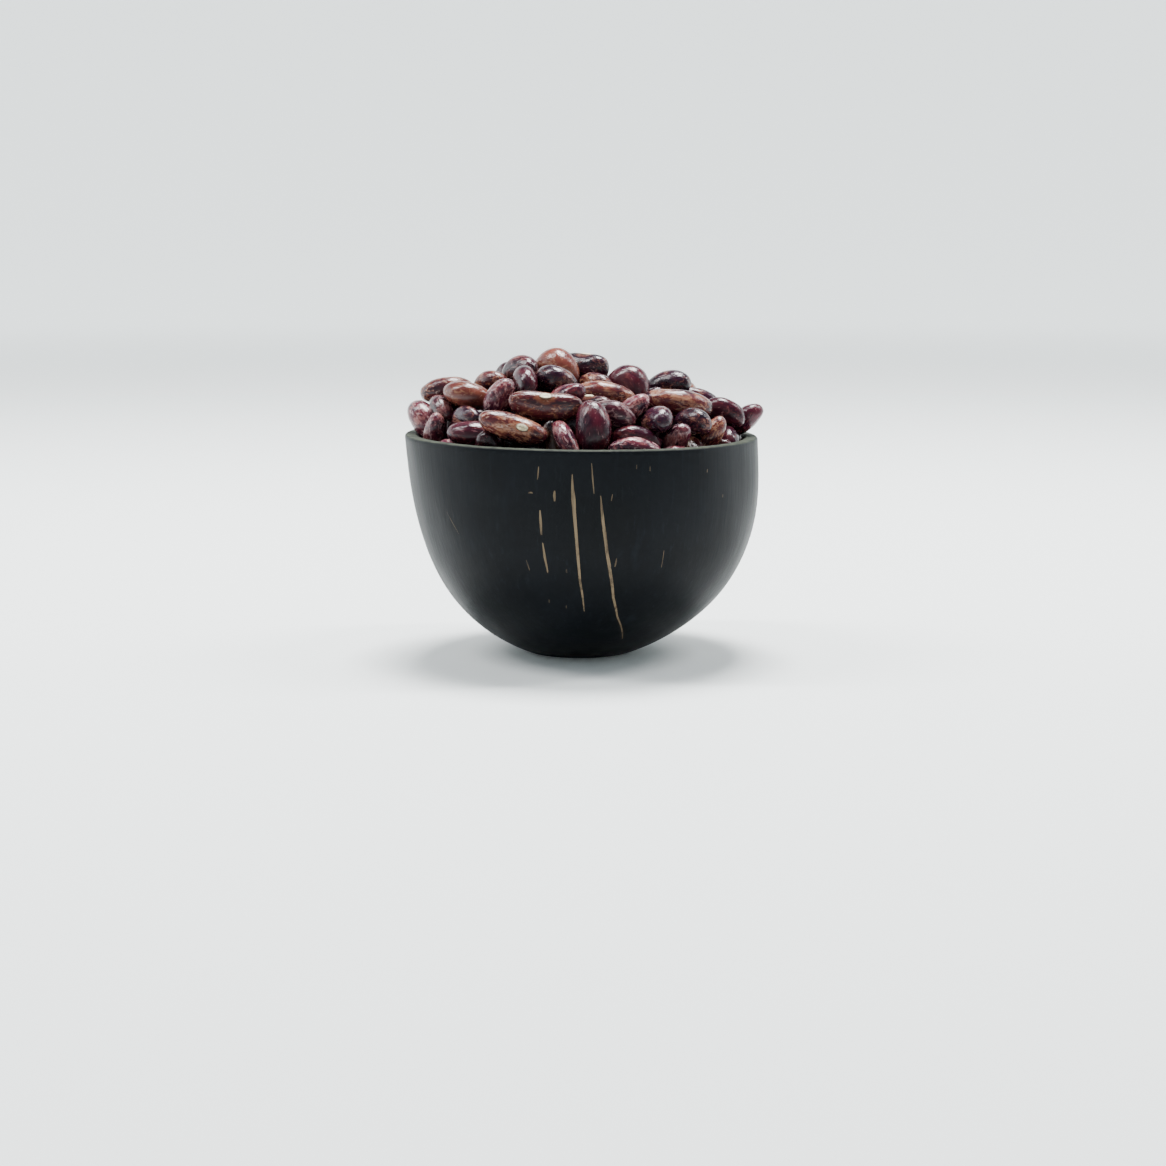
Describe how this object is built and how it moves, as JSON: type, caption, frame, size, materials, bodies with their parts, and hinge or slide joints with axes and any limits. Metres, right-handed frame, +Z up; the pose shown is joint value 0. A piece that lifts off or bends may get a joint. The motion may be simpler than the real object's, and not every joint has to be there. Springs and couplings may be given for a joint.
{
  "type": "bowl of dried beans",
  "caption": "Dark coconut-shell bowl heaped above its rim with dried speckled kidney beans in maroon, purple and tan.",
  "frame": {"origin": "middle of the bowl's flat foot, on the surface that it stands on", "axes": "+Z up out of the bowl; the front seen in the picture faces -Y; +X to the right as seen from the front"},
  "size_m": [0.0992, 0.0978, 0.0839],
  "materials": {
    "shell": "satin",
    "bean_skin": "gloss"
  },
  "bodies": {
    "root": {"bowl": "shell", "beans": "bean_skin"}
  },
  "joints": []
}
